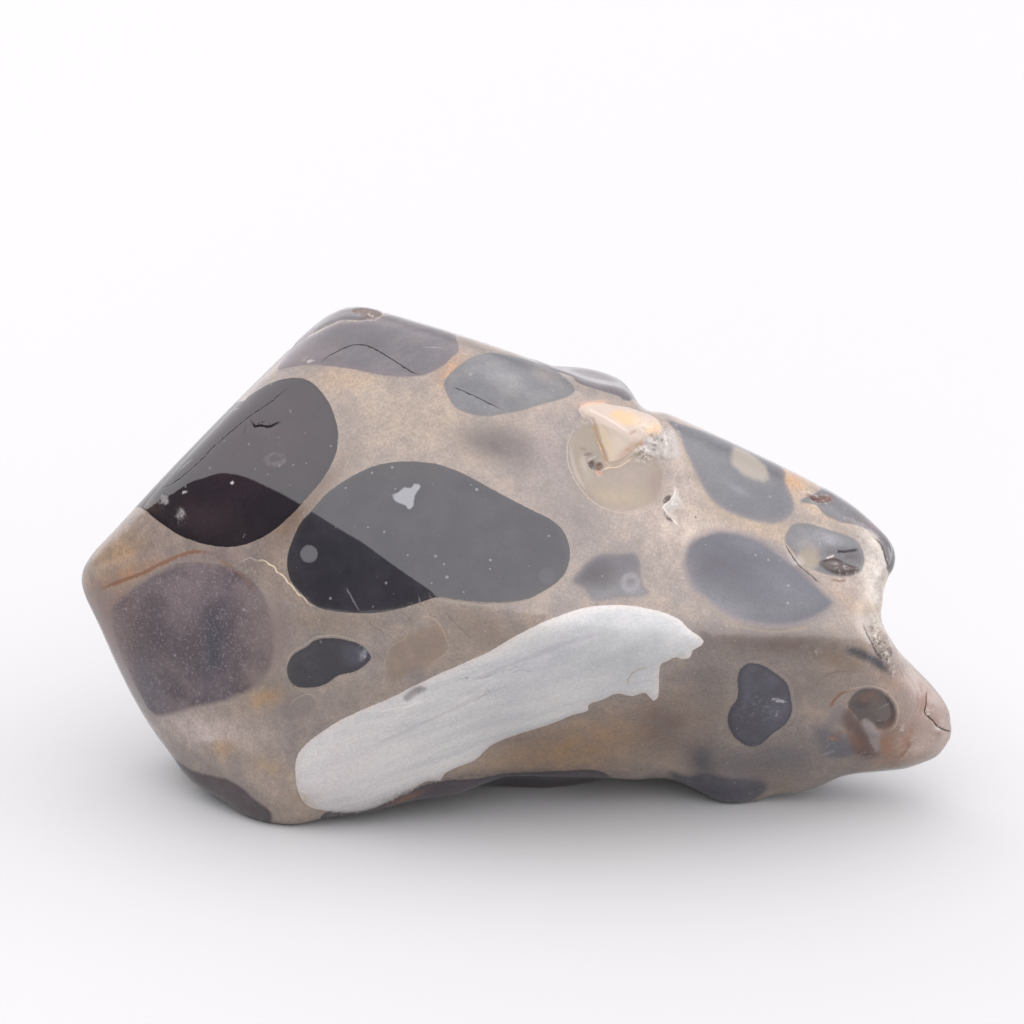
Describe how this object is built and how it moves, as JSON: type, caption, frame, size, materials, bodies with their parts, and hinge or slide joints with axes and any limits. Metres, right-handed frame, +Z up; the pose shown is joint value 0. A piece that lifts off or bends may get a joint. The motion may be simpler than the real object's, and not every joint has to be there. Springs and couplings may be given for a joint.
{
  "type": "puddingstone",
  "caption": "Polished puddingstone: dark and pale flint pebbles cemented in tan sandstone, worn to a low wedge-shaped block with a blunt nose, resting on small flats.",
  "frame": {"origin": "middle of the bounding box in X and Y, at the level of the surface that the stone rests on", "axes": "+X along the stone's length towards its blunt nose, +Y from the broad polished face to the back, +Z up"},
  "size_m": [0.0996, 0.0488, 0.0571],
  "materials": {
    "rock": "polished"
  },
  "bodies": {
    "root": {"puddingstone": "rock"}
  },
  "joints": []
}
